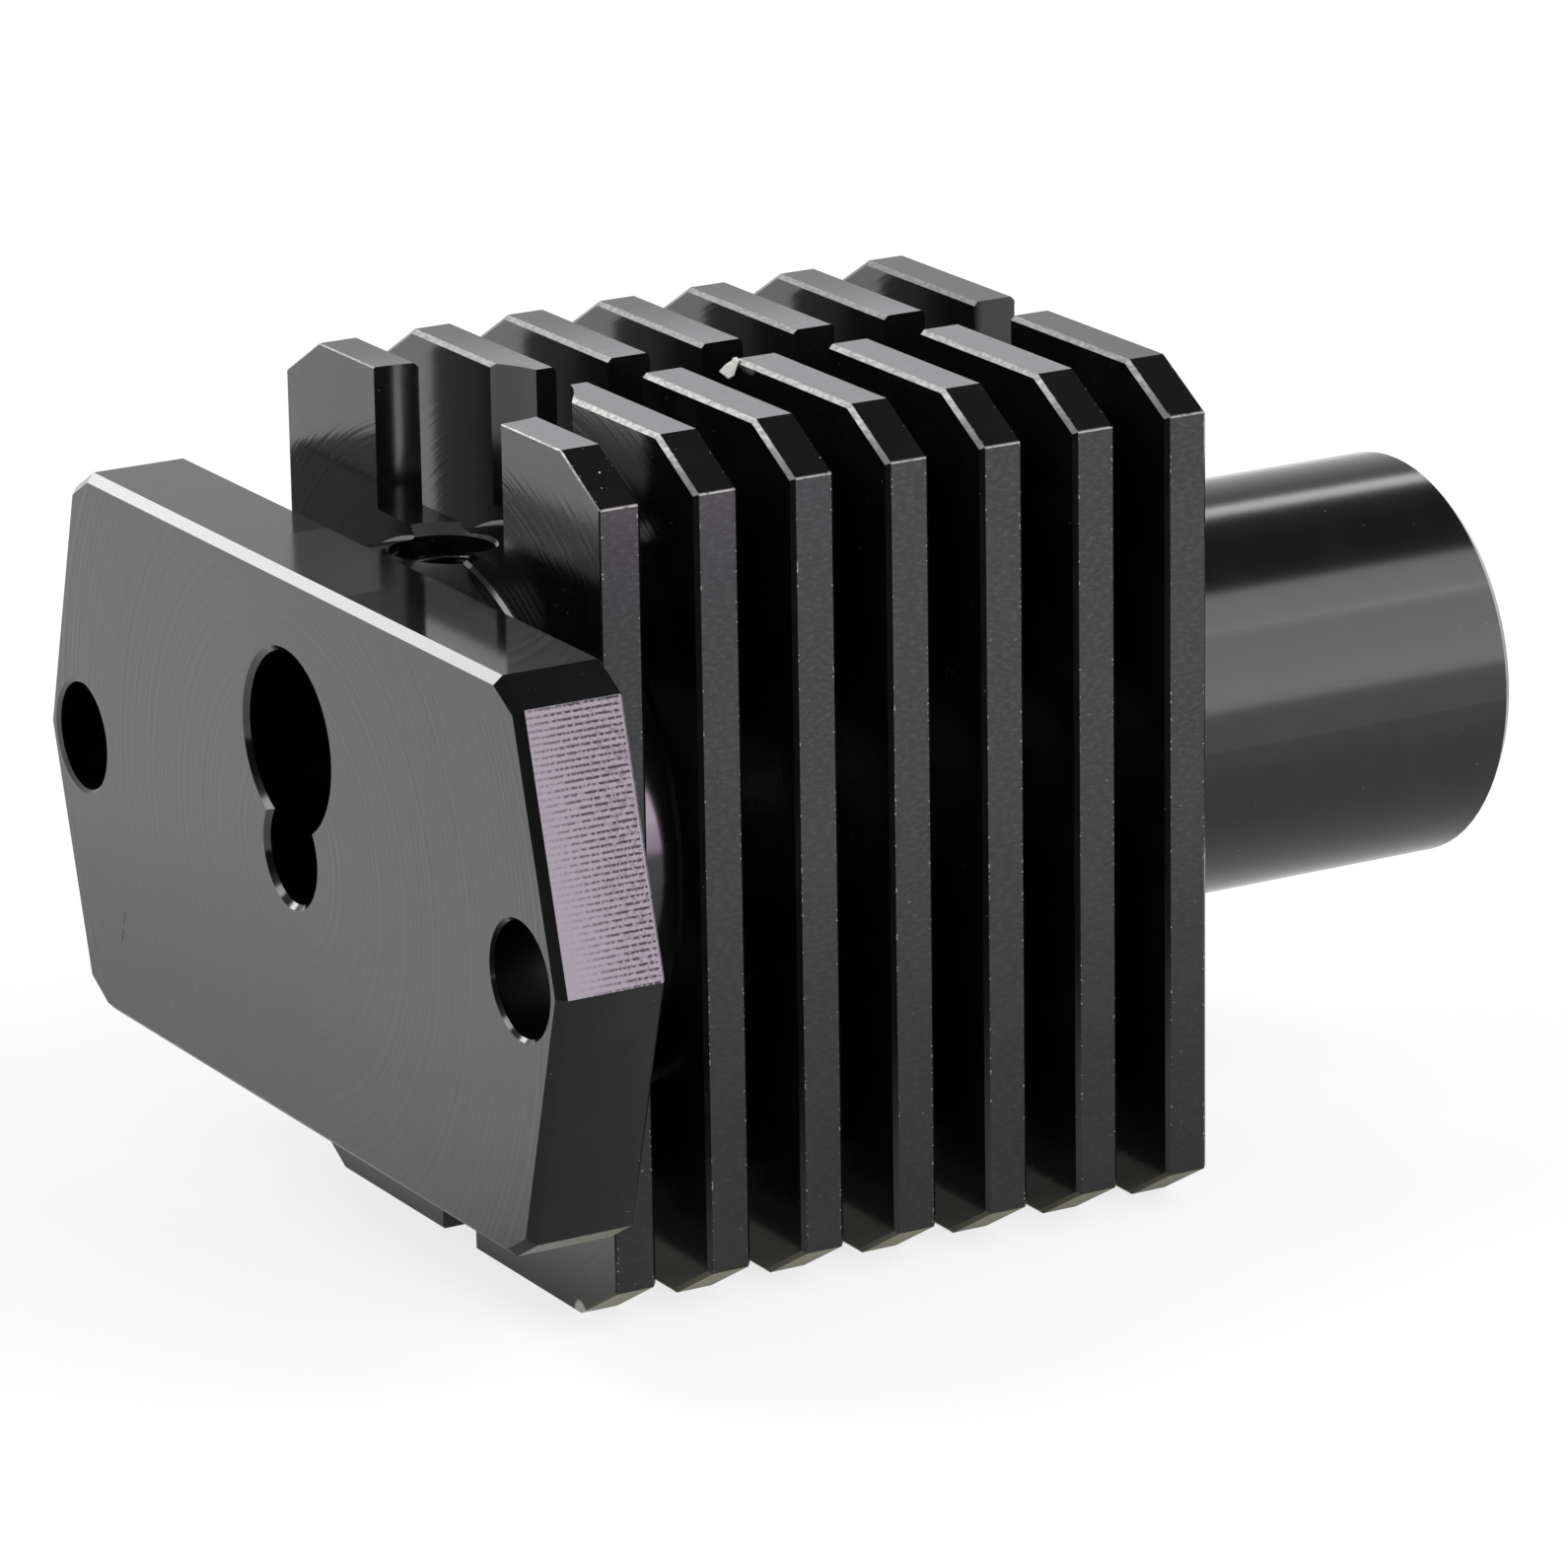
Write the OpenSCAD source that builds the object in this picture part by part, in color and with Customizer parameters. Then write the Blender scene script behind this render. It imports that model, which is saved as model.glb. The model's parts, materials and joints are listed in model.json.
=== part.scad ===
// Heat sink of a printer's hot end, milled from one bar: a mounting plate with a keyhole bore,
// a stack of split fins on a round core, and a plain tube for the extruder's clamp.
// X runs across the plate, Y from the plate's front face to the tube's end, and Z is up.
// The part stands on its fins, and its origin is below its middle.

/* [Front plate] */
// Distance between the two screw holes
screw_spacing = 26.7; // [25:0.1:32]
// Distance from a screw hole's centre out to the plate's point
screw_margin = 2.2; // [2:0.1:4]
// Diameter of the screw holes
screw_d = 3.2; // [2.2:0.1:3.4]
// Broken edge round each screw hole
screw_break = 0.1; // [0.05:0.05:0.2]
// Height of the plate
plate_h = 16.2; // [15:0.1:18]
// Thickness of the plate
plate_t = 3.2; // [2:0.1:6]
// Lean of the plate's slanted sides from upright
plate_lean = 15.3; // [10:0.1:18]
// Width of the flat along the plate's top and bottom
plate_flat_w = 24.7; // [22:0.1:26]
// Broken edge round the plate's front face
plate_front_break = 0.25; // [0.1:0.05:0.5]
// Broken edge round the plate's back face
plate_back_break = 0.1; // [0.05:0.05:0.5]

/* [Fins] */
// Number of fins
fin_count = 7; // [3:1:12]
// Width of a fin
fin_w = 18.4; // [17:0.1:24]
// Height of a fin
fin_h = 24.7; // [23:0.1:32]
// Thickness of a fin
fin_t = 1.35; // [0.8:0.05:2]
// Thickness of the first fin, whose front is faced off
first_fin_t = 1.3; // [0.8:0.05:2]
// Distance from one fin to the next
fin_pitch = 3; // [2.4:0.1:5]
// Gap between the plate and the first fin
first_gap = 1.75; // [1:0.05:4]
// Width of a fin's sloped corners
fin_corner_w = 2.1; // [1:0.1:4]
// Slope of the corners of the fins and the plate
corner_slope = 30; // [20:1:40]
// Broken edge round both faces of a fin
fin_break = 0.12; // [0.05:0.01:0.3]
// Broken edge round the front of the first fin, which is left nearly sharp
first_fin_break = 0.04; // [0.02:0.01:0.3]
// Width of the slots that split the fins at top and bottom
slot_w = 2; // [1:0.1:3]
// Height of the floors of the slots and of the pocket above the neck's roots
floor_gap = 0.1; // [0.05:0.05:1]

/* [Neck and tube] */
// Diameter of the neck that joins the plate to the second fin
neck_d = 16.1; // [14:0.1:16.1]
// Diameter of the core between the other fins
core_d = 12; // [8:0.1:14]
// Diameter of the tube behind the fins
tube_d = 12; // [8:0.1:16]
// Length of the tube behind the last fin
tube_len = 12.75; // [6:0.05:30]
// Broken edge at the tube's end
tube_break = 0.3; // [0.1:0.1:1]
// Small slope where the neck, the core and the tube meet a fin
root_break = 0.1; // [0.05:0.05:0.3]

/* [Keyhole] */
// Diameter of the bore on the axis, which runs right through
path_d = 3; // [2:0.1:4]
// Lead-in of that bore at the tube's end
path_lead_in = 0.8; // [0.2:0.1:1.5]
// Diameter of the blind bore above it
clamp_d = 5.1; // [4:0.1:5.6]
// Height of the blind bore's centre above the axis
clamp_rise = 3.2; // [2.6:0.1:4]
// Depth of the blind bore
clamp_depth = 9; // [7:0.1:12]
// Broken edge round the keyhole's mouth
mouth_break = 0.15; // [0.05:0.05:0.3]

/* [Set screw] */
// Diameter of the tapped hole, to the outside of its thread
set_screw_d = 3; // [2:0.1:3.2]
// Diameter of the countersink at its mouth
set_screw_mouth_d = 3.6; // [3.3:0.1:4.2]
// Distance of its axis behind the front of the first fin
set_screw_offset = 0.05; // [-0.5:0.05:1]
// Diameter of the round pocket cut down through the fins
pocket_d = 7.5; // [5:0.1:10]

/* [Hidden] */
$fn = 96;

// Cutters and inner pieces run past the faces they meet by this much
over = 0.5;

// The backs of the fins are one pitch apart
function fin_back_y(i) = fins_y + first_fin_t + i * fin_pitch;

plate_w = screw_spacing + 2 * screw_margin;
fins_y = plate_t + first_gap;
neck_y = plate_t - plate_back_break;
neck_end_y = fin_back_y(1) - fin_t;
fins_end_y = fin_back_y(fin_count - 1);
total_len = fins_end_y + tube_len;
set_screw_y = fins_y + set_screw_offset;

// Height above the axis of the floors of the slots and of the pocket
floor_z = neck_d / 2 + root_break + floor_gap;
cut_depth = fin_h / 2 - floor_z + over;

// Longer than any sheet is wide or tall
span = 2 * (plate_w + fin_h);

// A sheet's outline is pairs of opposite sides, each with its normal's angle and its distance from the axis
corner_angle = 90 - corner_slope;
function corner_reach(flat, height) = flat / 2 * sin(corner_slope) + height / 2 * cos(corner_slope);
fin_corner_reach = corner_reach(fin_w - 2 * fin_corner_w, fin_h);
fin_sides = [
    [0, fin_w / 2],
    [90, fin_h / 2],
    [corner_angle, fin_corner_reach],
    [-corner_angle, fin_corner_reach],
];
plate_lean_reach = plate_w / 2 * cos(plate_lean);
plate_corner_reach = corner_reach(plate_flat_w, plate_h);
plate_sides = [
    [90, plate_h / 2],
    [plate_lean, plate_lean_reach],
    [-plate_lean, plate_lean_reach],
    [corner_angle, plate_corner_reach],
    [-corner_angle, plate_corner_reach],
];

// Turns a shape that stands on Z so that it runs along Y
module along_y(y = 0) {
    translate([0, y, 0]) rotate([-90, 0, 0]) children();
}

// Bar between one pair of sides, with its front edges at y = 0 and its back edges broken
module broken_bar(reach, thick, front, back) {
    linear_extrude(height = span, center = true)
        polygon([
            [-reach, front], [-reach + front, 0], [reach - front, 0], [reach, front],
            [reach, thick - back], [reach - back, thick], [back - reach, thick], [-reach, thick - back],
        ]);
}

// Flat sheet with straight sides and broken edges all round both faces
module sheet(sides, thick, front, back) {
    intersection_for (side = sides)
        rotate([0, -side[0], 0]) broken_bar(side[1], thick, front, back);
}

// Slope round a bar of diameter d, standing on the face that the bar rises from
module root(d) {
    translate([0, 0, -root_break]) cylinder(d1 = d + 4 * root_break, d2 = d, h = 2 * root_break);
}

// Drill with a chamfer at its mouth, which is at z = 0
module drill(d, depth, mouth) {
    translate([0, 0, -over]) cylinder(d = d, h = depth + over);
    translate([0, 0, -over]) cylinder(d1 = d + 2 * (mouth + over), d2 = d, h = mouth + over);
}

module plate() {
    sheet(plate_sides, plate_t, plate_front_break, plate_back_break);
}

module fins() {
    translate([0, fins_y, 0]) sheet(fin_sides, first_fin_t, first_fin_break, fin_break);
    for (i = [1 : fin_count - 1])
        translate([0, fin_back_y(i) - fin_t, 0]) sheet(fin_sides, fin_t, fin_break, fin_break);
}

// Thick neck from within the plate's back edge to the second fin
module neck() {
    along_y(neck_y) cylinder(d = neck_d, h = neck_end_y - neck_y + over);
    along_y(fins_y) mirror([0, 0, 1]) root(neck_d);
    along_y(fin_back_y(0)) root(neck_d);
    along_y(neck_end_y) mirror([0, 0, 1]) root(neck_d);
}

// Core between the other fins
module core() {
    for (i = [1 : fin_count - 2]) {
        gap_y = fin_back_y(i);
        gap = fin_pitch - fin_t;
        along_y(gap_y - over) cylinder(d = core_d, h = gap + 2 * over);
        along_y(gap_y) root(core_d);
        along_y(gap_y + gap) mirror([0, 0, 1]) root(core_d);
    }
}

// Plain tube behind the last fin
module tube() {
    along_y()
        rotate_extrude()
            polygon([
                [0, fins_end_y - over],
                [tube_d / 2, fins_end_y - over],
                [tube_d / 2, total_len - tube_break],
                [tube_d / 2 - tube_break, total_len],
                [0, total_len],
            ]);
    along_y(fins_end_y) root(tube_d);
}

// Slots that split the fins from the first to the last, at top and bottom
module fin_slots() {
    for (side = [0, 1])
        mirror([0, 0, side])
            translate([-slot_w / 2, fins_y - over, floor_z])
                cube([slot_w, fins_end_y - fins_y + 2 * over, cut_depth]);
}

// Round pocket down through the first fins, with the tapped hole in its floor
module set_screw_pocket() {
    translate([0, set_screw_y, floor_z]) {
        cylinder(d = pocket_d, h = cut_depth);
        mirror([0, 0, 1])
            drill(set_screw_d, floor_z - clamp_rise, (set_screw_mouth_d - set_screw_d) / 2);
    }
}

module keyhole() {
    along_y() drill(path_d, total_len + over, mouth_break);
    along_y(total_len) mirror([0, 0, 1]) drill(path_d, path_lead_in, path_lead_in);
    translate([0, 0, clamp_rise]) along_y() drill(clamp_d, clamp_depth, mouth_break);
}

module screw_holes() {
    for (side = [-1, 1])
        translate([side * screw_spacing / 2, 0, 0]) {
            along_y() drill(screw_d, plate_t + over, screw_break);
            along_y(plate_t) mirror([0, 0, 1]) drill(screw_d, screw_break, screw_break);
        }
}

module heat_sink() {
    color([0.07, 0.07, 0.08])
        translate([0, -total_len / 2, fin_h / 2])
            difference() {
                union() {
                    plate();
                    fins();
                    neck();
                    core();
                    tube();
                }
                fin_slots();
                set_screw_pocket();
                keyhole();
                screw_holes();
            }
}

heat_sink();
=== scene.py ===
"""Looks of a black anodised hot-end heat sink: its coating, its thread, a burr and the stage.

The part itself comes from the frame. Lengths are in metres, as Blender has them, and MM turns a
drawing's millimetres into metres. Shader sums run in millimetres from the plate's front face and
the tube's axis.
"""
import functools
import json
import math

import bmesh
import bpy
from bpy.props import FloatProperty, FloatVectorProperty, IntProperty, PointerProperty
from mathutils import Matrix, Vector


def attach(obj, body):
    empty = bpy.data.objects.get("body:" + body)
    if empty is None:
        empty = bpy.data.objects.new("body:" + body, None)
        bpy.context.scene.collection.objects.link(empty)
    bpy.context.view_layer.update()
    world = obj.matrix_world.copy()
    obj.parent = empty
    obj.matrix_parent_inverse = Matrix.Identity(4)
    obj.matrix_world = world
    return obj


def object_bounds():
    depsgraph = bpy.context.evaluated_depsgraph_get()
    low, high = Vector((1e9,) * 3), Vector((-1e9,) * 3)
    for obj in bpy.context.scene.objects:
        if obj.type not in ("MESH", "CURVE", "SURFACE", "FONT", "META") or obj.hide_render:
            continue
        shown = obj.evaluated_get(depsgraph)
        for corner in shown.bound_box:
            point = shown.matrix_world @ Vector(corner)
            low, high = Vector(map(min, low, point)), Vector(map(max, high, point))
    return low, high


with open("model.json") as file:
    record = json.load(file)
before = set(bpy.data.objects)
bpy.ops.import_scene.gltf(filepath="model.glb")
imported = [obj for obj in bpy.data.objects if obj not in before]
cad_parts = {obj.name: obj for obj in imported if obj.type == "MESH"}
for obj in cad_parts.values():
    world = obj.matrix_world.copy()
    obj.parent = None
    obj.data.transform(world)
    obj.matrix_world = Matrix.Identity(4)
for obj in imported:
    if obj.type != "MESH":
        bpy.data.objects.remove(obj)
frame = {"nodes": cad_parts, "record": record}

bl_info = {
    "name": "Anodised heat sink",
    "version": (1, 0, 0),
    "blender": (4, 5, 0),
    "location": "View3D > Sidebar > Heat sink",
    "description": "Finishes a machined heat sink and sets it on a small stage",
    "category": "Object",
}

MM = 0.001
BODY = "root"
NODE = "heat_sink"
MOUNTS = {mount["name"]: mount for mount in frame["record"]["mounts"]}
PART_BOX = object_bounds()
FRONT_Y = PART_BOX[0].y
TOP_Z = PART_BOX[1].z
AXIS_Z = MOUNTS["path_bore"]["pos_m"][2]

# How far a face's normal leans towards a direction, where 1 is straight at it: faces that lie square
# to it, edges broken at 45 degrees with their two limits, and faces that lean that way at all
SQUARE = 0.9
HALF, OVER_HALF = 0.6, 0.8
SLIGHT = 0.1

# In millimetres: every bore along the axis lies within this radius and the tube's outside beyond it
BORES_RADIUS = MOUNTS["tube"]["dims"]["r_mm"] * 0.98
# The plate's slanted sides and corners lie further than this from the axis, and its top lies nearer
SLANTS_REACH = 12.8
# How deep the zone of a fin's outer strips reaches into the fin
STRIP_DEPTH = 0.2

# Radius of a hole's broken or countersunk mouth, as a multiple of the hole's own
SCREW_HOLE_MOUTH = 1.1
SET_SCREW_MOUTH = 1.25

# Bumps in a millimetre for each pattern of the coating, along x, y and z where they differ
CLOUDS = 0.6
RINGS = 5.0
WEAR = 8.0
GRAIN = (5.0, 4.0, 10.0)
DASHES = (0.0, 9.0, 6.0)

# Marks of use, in millimetres from the plate's front face and the tube's axis: spots where the
# coating is knocked off, with their sizes, and the ends of a scratch on the plate's front
NICKS = (((7.1, 4.95, -12.3), 0.4), ((8.0, 5.65, 11.83), 0.035), ((8.5, 5.43, 11.54), 0.02))
SCRATCH = ((-10.87, -4.69), (-11.15, -5.67))

# Outline of the burr: shares of its reach and its drop, and how thick it is there
BURR_OUTLINE = (
    (-0.10, 0.10, 1.0), (0.10, -0.02, 1.4), (0.28, 0.02, 1.0), (0.32, 0.17, 1.2), (0.60, 0.38, 1.6),
    (0.92, 0.70, 0.4), (0.57, 0.94, 0.8), (0.40, 1.06, 0.4), (0.10, 0.86, 0.6), (0.14, 0.72, 1.4),
    (0.00, 0.30, 1.2))

# Panels of the studio, in millimetres: name, place, size along the part, size across,
# brightness where white paper is 1, and colour
PANELS = (
    ("right_panel_low", (357, 214, 183), 400, 308, 1.9, (1.0, 0.99, 1.0)),
    ("right_panel_high", (210, 214, 348), 400, 153, 2.4, (1.0, 1.0, 1.0)),
    ("left_strip", (-224, 245, 287), 100, 55, 4.2, (1.0, 1.0, 1.0)),
    ("left_key", (-346, -134, 190), 140, 80, 7.2, (1.0, 1.0, 1.0)),
    ("front_panel", (-96, -273, 304), 150, 150, 5.0, (1.0, 1.0, 1.0)),
    ("lilac_card", (76, 19.5, 20.5), 15, 31, 4.9, (1.0, 0.77, 0.97)),
    ("low_card", (53, -6, 6), 12, 12, 3.0, (1.0, 1.0, 1.0)),
)

# The room in the part's gloss: its greys from the horizon up to straight overhead, the way to its
# dark wall behind the camera, and that wall's grey
ROOM_GREYS = ((0.0, 1.0), (0.12, 0.87), (0.26, 0.73), (0.34, 0.62), (0.5, 0.42), (0.7, 0.1), (1.0, 0.06))
DARK_WALL = (0.7, -0.7, 0.1)
DARK_WALL_GREY = 0.03
WHITE = (1.0, 1.0, 1.0)


def length(name, description, millimetres):
    """A length that the sidebar shows in the scene's units."""
    return FloatProperty(
        name=name, description=description, default=millimetres * MM, unit="LENGTH", precision=5)


def share(name, description, default):
    """A number from 0 to 1."""
    return FloatProperty(
        name=name, description=description, default=default, min=0, max=1, subtype="FACTOR")


def colour(name, description, default):
    """A plain colour in linear values."""
    return FloatVectorProperty(
        name=name, description=description, default=default, min=0, max=1, size=3, subtype="COLOR")


def angle(name, description, degrees):
    """An angle that the sidebar shows in degrees."""
    return FloatProperty(
        name=name, description=description, default=math.radians(degrees), subtype="ANGLE")


class HeatSinkSizes(bpy.types.PropertyGroup):
    """Sizes that the finish and the small pieces follow."""

    plate_thickness: length("Plate thickness", "From the plate's front face to its back", 3.2)
    first_gap: length("First gap", "From the plate's back to the first fin", 1.75)
    first_fin: length("First fin", "Thickness of the first fin", 1.3)
    fin_count: IntProperty(name="Fins", description="Number of fins", default=7, min=1)
    fin_pitch: length("Fin pitch", "From one fin to the next", 3.0)
    fin_thickness: length("Fin thickness", "From a fin's front face to its back", 1.35)
    fin_width: length("Fin width", "Width of a fin across the part", 18.4)
    fin_corner: length("Fin corner", "Width of a fin's sloped corners", 2.1)
    corner_slope: angle("Corner slope", "Slope of a fin's corners from level", 30)
    fin_break: length("Fin break", "Broken edge round a fin's faces", 0.12)
    slot_width: length("Slot width", "Width of the slots that split the fins", 2.0)
    thread_pitch: length("Thread pitch", "Rise of the set screw's thread in one turn", 0.5)
    thread_depth: length("Thread depth", "Height of the thread's ridge above the hole's wall", 0.27)
    burr_reach: length("Burr reach", "How far the burr reaches out of the slot's corner", 0.54)
    burr_drop: length("Burr drop", "How far the burr hangs below the fin's top", 0.44)
    burr_half: length("Burr's half thickness", "Half of the burr's usual thickness", 0.05)
    burr_fin: IntProperty(
        name="Burr's fin", description="Which fin the burr hangs on, from the plate", default=4, min=1)


class CoatingLook(bpy.types.PropertyGroup):
    """Colours and gloss of the anodised coating."""

    dye: colour("Dye", "Colour of the black coating", (0.0042, 0.0042, 0.0046))
    faded_dye: colour("Faded dye", "Colour where the coating is a little thin", (0.0075, 0.0072, 0.0080))
    # Paler colour of the fins' tops on their right halves, and of the rubbed back edges
    pale_dye: colour("Rubbed dye", "Colour of the fins' tops, which are rubbed pale", (0.21, 0.213, 0.228))
    bare_metal: colour("Bare metal", "Aluminium where the coating is chipped", (0.78, 0.78, 0.75))
    torn_metal: colour("Torn metal", "Aluminium of the burr", (0.90, 0.90, 0.82))
    # Paler grain, and the painted sheen on the plate's rings
    grain_and_sheen_dye: colour("Grain", "Colour of the paler grain and rings", (0.030, 0.030, 0.032))
    dust: colour("Dust", "Fine specks on the faces", (0.20, 0.20, 0.205))
    rough_faces: share("Roughness of turned faces", "Plate's front, and the faces of the fins", 0.14)
    rough_rim: share("Roughness of the plate's rim", "Plate's top, bottom and slanted sides", 0.08)
    rough_sides: share("Roughness of milled sides", "Outer edges of the fins", 0.14)
    rough_tops: share("Roughness of the tops", "Tops and sloped corners of the fins", 0.17)
    rough_breaks: share("Roughness of broken edges", "Upper front edges of the fins, broken by hand", 0.35)
    rough_grooves: share("Roughness of grooves", "Milled lines on the slanted sides, and the scratch", 0.60)
    rough_tube: share("Roughness of the tube", "Tube's outside", 0.17)
    rough_bores: share("Roughness of the bores", "Drilled walls of the screw holes and the keyhole", 0.45)
    rough_torn: share("Roughness of torn metal", "Surface of the burr", 0.5)
    rough_chips: share("Roughness of chips", "What a chip adds to the roughness round it", 0.2)
    # Painted shade in the bores: how far their skin mirrors only its own dark colour
    bores_painted_shade: share("Dull bores", "How far the skin in the bores mirrors only its own colour", 0.9)
    refraction: FloatProperty(
        name="Refraction", description="Index of refraction of the sealed coating", default=1.6, min=1)
    ring_depth: length("Ring depth", "Height of the rings on turned faces", 0.005)
    line_pitch: length("Line pitch", "Distance between the milled lines on the slanted sides", 0.175)


class WearLook(bpy.types.PropertyGroup):
    """How far the coating is worn, which edges are rounded over, and the painted sheen on the plate's rings
    and painted shade low on the fins' sides.
    """

    edges_left: share("Left edges", "Bare share of the upper front edges on the left", 0.252)
    edges_right: share("Right edges", "Bare share of the upper front edges on the right", 0.399)
    last_fin: share("Last fin", "Wear of the last fin's edge as a share of the others'", 0.81)
    chips: share("Chips", "Bare share of the chips along the fins' sides", 0.45)
    corner_lines: share("Corner lines", "Bare share of the lines along the fins' corners", 0.6)
    mouth_left: share("Mouth, left", "Bare share of the countersink's left half", 0.08)
    mouth_right: share("Mouth, right", "Bare share of the countersink's right half", 0.4)
    # The grain fades low on the fins' sides as painted shade, where less light is mirrored
    grain_low_shaded: share("Grain below", "How clear the grain is low on the fins' sides", 0.3)
    grain_high: share("Grain above", "How clear the grain is high on the fins' sides", 0.8)
    # The pale rings are a painted sheen, shown only where a turned face's bow-tie highlight falls
    rings: share("Rings", "How clear the pale rings on the plate's front are", 0.35)
    dust: share("Dust", "How much a speck of dust hides", 0.7)
    groove_specks: share("Groove specks", "How clear the specks between the milled lines are", 0.35)
    round_mouth: share("Round mouth", "How far the left screw hole's mouth is rounded over", 0.5)
    round_bottom: share("Round bottom", "How far the plate's lower front edge is rounded over", 0.6)
    round_corner: share("Round corner", "How far the plate's lower right corner is rounded over", 0.17)


class StageSettings(bpy.types.PropertyGroup):
    """Camera and light of the small studio."""

    lens: FloatProperty(
        name="Lens", description="Focal length on a 36 mm sensor", default=191.608, unit="CAMERA")
    azimuth: angle("Azimuth", "Way round the part, from straight in front of the plate", 60.1242)
    elevation: angle("Elevation", "Height of the camera above the horizon", 17.0168)
    roll: angle("Roll", "Turn of the camera about its own line of sight", -0.8976)
    distance: length("Distance", "From the camera to the point that it looks at", 239.565)
    aim: FloatVectorProperty(
        name="Aim", description="Point that the camera looks at", size=3, unit="LENGTH", precision=5,
        default=(-0.715 * MM, -2.297 * MM, 11.45 * MM))
    ambient: FloatProperty(
        name="Ambient", description="Light of the room on matt surfaces", default=0.35, min=0)
    floor_tone: colour("Floor", "Colour of the floor", (0.86, 0.86, 0.86))


class Value:
    """A socket's value in a node tree. Python's operators on values add Math nodes."""

    def __init__(self, tree, socket):
        self.tree = tree
        self.socket = socket

    def output(self, name):
        """Another output of the node that this value comes from."""
        return Value(self.tree, self.socket.node.outputs[name])

    def __add__(self, other):
        return self.tree.math("ADD", self, other)

    def __radd__(self, other):
        return self.tree.math("ADD", other, self)

    def __sub__(self, other):
        return self.tree.math("SUBTRACT", self, other)

    def __rsub__(self, other):
        return self.tree.math("SUBTRACT", other, self)

    def __mul__(self, other):
        return self.tree.math("MULTIPLY", self, other)

    def __rmul__(self, other):
        return self.tree.math("MULTIPLY", other, self)

    def __truediv__(self, other):
        return self.tree.math("DIVIDE", self, other)

    def __rtruediv__(self, other):
        return self.tree.math("DIVIDE", other, self)

    def __pow__(self, other):
        return self.tree.math("POWER", self, other)

    def __abs__(self):
        return self.tree.math("ABSOLUTE", self)

    def __gt__(self, other):
        return self.tree.math("GREATER_THAN", self, other)

    def __lt__(self, other):
        return self.tree.math("LESS_THAN", self, other)


class NodeTree:
    """A node tree that is filled by Python expressions."""

    def __init__(self, tree):
        self.tree = tree
        self.tree.nodes.clear()

    def node(self, kind, settings=None, inputs=None, output=0):
        """Adds a node, sets it up, then fills its sockets with numbers or links."""
        made = self.tree.nodes.new(kind)
        for name, setting in (settings or {}).items():
            if name == "stops":
                self.set_stops(made.color_ramp, setting)
            else:
                setattr(made, name, setting)
        for name, value in (inputs or {}).items():
            if isinstance(value, Value):
                self.tree.links.new(value.socket, made.inputs[name])
            else:
                made.inputs[name].default_value = value
        return Value(self, made.outputs[output]) if made.outputs else made

    @staticmethod
    def set_stops(ramp, stops):
        """Gives a colour ramp its greys, each with its place from 0 to 1."""
        while len(ramp.elements) < len(stops):
            ramp.elements.new(1)
        for element, (place, grey) in zip(ramp.elements, stops):
            element.position = place
            element.color = opaque((grey, grey, grey))

    def math(self, operation, *terms):
        """A Math node on values and numbers."""
        return self.node("ShaderNodeMath", {"operation": operation}, dict(enumerate(terms)))

    def vector(self, operation, *terms, output=0):
        """A Vector Math node on vectors."""
        return self.node(
            "ShaderNodeVectorMath", {"operation": operation}, dict(enumerate(terms)), output)

    def in_millimetres(self, place):
        """A place in metres, turned into millimetres."""
        return self.vector("MULTIPLY", place, (1 / MM, 1 / MM, 1 / MM))

    def separate(self, vector):
        """The three numbers of a vector."""
        parts = self.node("ShaderNodeSeparateXYZ", inputs={"Vector": vector})
        return parts, parts.output("Y"), parts.output("Z")

    def least(self, first, second):
        """The lower of two values."""
        return self.math("MINIMUM", first, second)

    def most(self, *values):
        """The highest of several values."""
        return functools.reduce(functools.partial(self.math, "MAXIMUM"), values)

    def rise(self, value, low, high):
        """0 below low, 1 above high and a soft step between them."""
        return self.node(
            "ShaderNodeMapRange", {"interpolation_type": "SMOOTHSTEP"},
            {"Value": value, "From Min": low, "From Max": high})

    def noise(self, place, scale, detail, roughness=0.5):
        """Cloudy noise about 0.5, at a place in millimetres, with that many bumps in each."""
        return self.node(
            "ShaderNodeTexNoise", {"noise_dimensions": "3D"},
            {"Vector": place, "Scale": scale, "Detail": detail, "Roughness": roughness})

    def stretched_noise(self, place, scales, detail, roughness=0.5):
        """Cloudy noise whose number of bumps in a millimetre differs along x, y and z."""
        return self.noise(self.vector("MULTIPLY", place, scales), 1.0, detail, roughness)

    def noise_line(self, number, scale, detail, roughness):
        """Noise along one number only, which makes rings or stripes."""
        return self.node(
            "ShaderNodeTexNoise", {"noise_dimensions": "1D"},
            {"W": number, "Scale": scale, "Detail": detail, "Roughness": roughness})

    def mix_vector(self, share_of_second, first, second):
        """A vector between two others."""
        return self.node(
            "ShaderNodeMix", {"data_type": "VECTOR"},
            {0: share_of_second, 4: first, 5: second}, output=1)

    def mix_colour(self, share_of_second, first, second):
        """A colour between two others."""
        return self.node(
            "ShaderNodeMix", {"data_type": "RGBA"},
            {0: share_of_second, 6: opaque(first), 7: opaque(second)}, output=2)


def opaque(colour_or_value):
    """A plain colour with its alpha, or a node's value as it is."""
    return colour_or_value if isinstance(colour_or_value, Value) else (*colour_or_value, 1.0)


def between(share_of_second, first, second):
    """A number between two others."""
    return first + share_of_second * (second - first)


def diagonal(first, second):
    """Distance over two lengths that lie at right angles."""
    return (first * first + second * second) ** 0.5


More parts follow.
